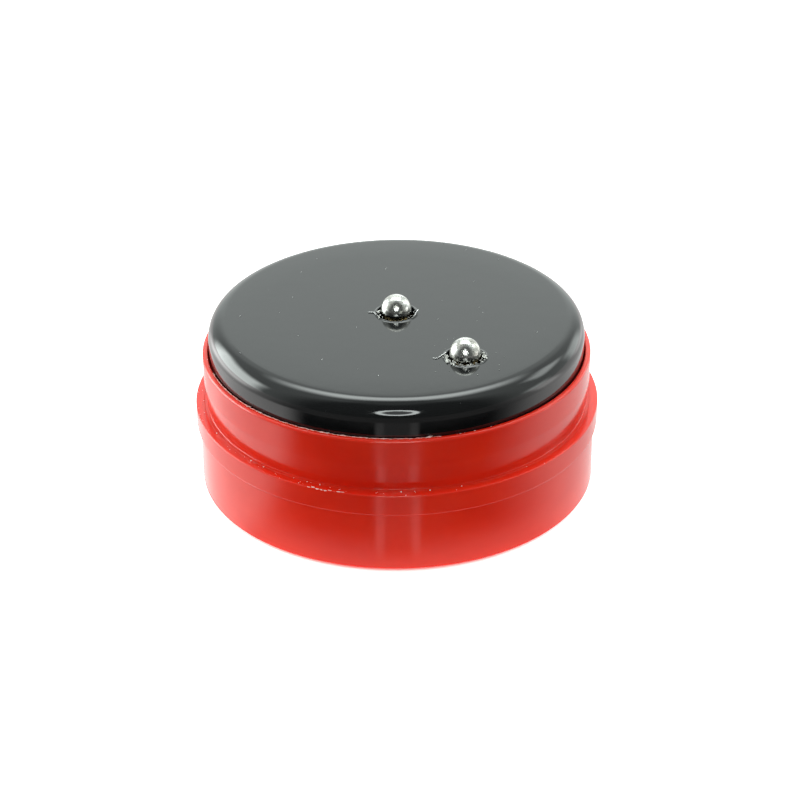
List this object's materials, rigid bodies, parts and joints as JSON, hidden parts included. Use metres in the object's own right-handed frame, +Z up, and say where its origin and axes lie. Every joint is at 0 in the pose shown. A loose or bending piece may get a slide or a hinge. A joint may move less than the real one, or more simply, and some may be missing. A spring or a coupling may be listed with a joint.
{
  "type": "quiz buzzer",
  "caption": "Small round quiz buzzer puck: red cup and bezel ring, glossy black push button with snap legs, and sprung steel ball contacts in the button.",
  "frame": {"origin": "on the table plane, under the centre of the button", "axes": "+Z up along the button's axis, out of the button; the outer contact lies towards +X and -Y"},
  "size_m": [0.04, 0.04, 0.0193],
  "materials": {
    "housing_red": "glossy moulded",
    "button_black": "glossy moulded",
    "ball_steel": "polished",
    "brass": "bright",
    "screw_steel": "zinc plated",
    "spring_steel": "drawn wire",
    "cell_steel": "nickel plated",
    "tab_nickel": "nickel strip",
    "foot_rubber": "matt",
    "silicone": "translucent silicone",
    "carbon_rubber": "matt",
    "foam": "open foam",
    "foam_tape": "foam tape",
    "piezo_ceramic": "silvered",
    "chip_ceramic": "fired",
    "board": "solder mask",
    "black_resin": "moulded resin",
    "coil": "enamelled wire on ferrite",
    "pusher_plastic": "satin moulded",
    "wire_sleeve": "insulation"
  },
  "bodies": {
    "housing": {"base_cup": "housing_red", "bezel_ring": "housing_red", "base_screws": "screw_steel", "foot_pads": "foot_rubber", "piezo_gasket": "foam", "piezo_plate": "brass", "piezo_ceramic": "piezo_ceramic", "piezo_leads": "wire_sleeve", "rechargeable_cell": "cell_steel", "cell_tab_negative": "tab_nickel", "cell_tab_positive": "tab_nickel", "cell_tape": "foam_tape", "circuit_board": "board", "switch_contacts": "brass", "sound_chip": "black_resin", "charge_chip": "black_resin", "boost_coil": "coil", "chip_components": "chip_ceramic", "switch_dome": "silicone", "return_springs": "spring_steel"},
    "button": {"button_cap": "button_black", "dome_pill": "carbon_rubber", "dome_pusher": "pusher_plastic", "centre_contact_barrel": "brass", "outer_contact_barrel": "brass", "centre_contact_spring": "spring_steel", "outer_contact_spring": "spring_steel", "contact_leads": "wire_sleeve"},
    "centre_contact": {"centre_contact_pin": "ball_steel"},
    "outer_contact": {"outer_contact_pin": "ball_steel"}
  },
  "joints": [
    {"name": "button_press", "type": "slide", "parent": "housing", "child": "button", "axis": [0, 0, -1], "range_m": [0, 0.0012], "deforming": ["return_springs", "switch_dome", "contact_leads"]},
    {"name": "centre_contact_press", "type": "slide", "parent": "button", "child": "centre_contact", "axis": [0, 0, -1], "range_m": [0, 0.0008], "deforming": ["centre_contact_spring"]},
    {"name": "outer_contact_press", "type": "slide", "parent": "button", "child": "outer_contact", "axis": [0, 0, -1], "range_m": [0, 0.0008], "deforming": ["outer_contact_spring"]}
  ]
}
